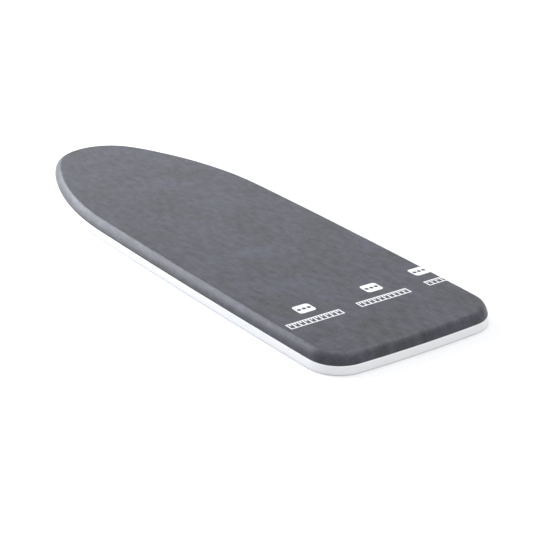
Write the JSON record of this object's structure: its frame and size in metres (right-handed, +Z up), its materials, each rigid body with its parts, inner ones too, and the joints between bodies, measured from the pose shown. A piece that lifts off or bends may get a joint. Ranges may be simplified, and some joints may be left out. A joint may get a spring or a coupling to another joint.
{
  "type": "ironing board",
  "caption": "Tabletop ironing board, rounded nose and square end: padded woven cover over a deck and white rim, with two wire legs that fold into bays beneath.",
  "frame": {"origin": "under the middle of the board, on the table it lies on with its legs folded", "axes": "+X along the board to its square end, the nose at -X; +Y across it; +Z up out of the ironing surface"},
  "size_m": [0.95, 0.31, 0.0286],
  "materials": {
    "white_plastic": "satin",
    "plywood": "matte",
    "foam": "matte",
    "felt": "satin",
    "cover_cloth": "matte",
    "elastic": "matte",
    "screw_steel": "satin",
    "dark_plastic": "satin",
    "leg_wire": "gloss",
    "foot_rubber": "matte"
  },
  "bodies": {
    "board": {"nose_rim": "white_plastic", "end_rim": "white_plastic", "nose_panel": "white_plastic", "middle_panel": "white_plastic", "end_panel": "white_plastic", "deck_panel": "plywood", "foam_pad": "foam", "reflective_felt": "felt", "cover": "cover_cloth", "hem_elastic": "elastic", "rim_screws": "screw_steel", "panel_screws": "screw_steel", "rear_left_bearing": "dark_plastic", "rear_right_bearing": "dark_plastic", "front_left_bearing": "dark_plastic", "front_right_bearing": "dark_plastic", "bearing_screws": "screw_steel", "rear_clip": "dark_plastic", "front_clip": "dark_plastic", "clip_screws": "screw_steel"},
    "rear_leg": {"rear_leg_frame": "leg_wire", "rear_left_foot": "foot_rubber", "rear_right_foot": "foot_rubber"},
    "front_leg": {"front_leg_frame": "leg_wire", "front_left_foot": "foot_rubber", "front_right_foot": "foot_rubber"}
  },
  "joints": [
    {"name": "rear_leg_fold", "type": "hinge", "parent": "board", "child": "rear_leg", "pos_m": [0.318, 0, 0.0065], "axis": [0, -1, 0], "range_deg": [0, 105]},
    {"name": "front_leg_fold", "type": "hinge", "parent": "board", "child": "front_leg", "pos_m": [-0.3, 0, 0.0065], "axis": [0, 1, 0], "range_deg": [0, 105]}
  ]
}
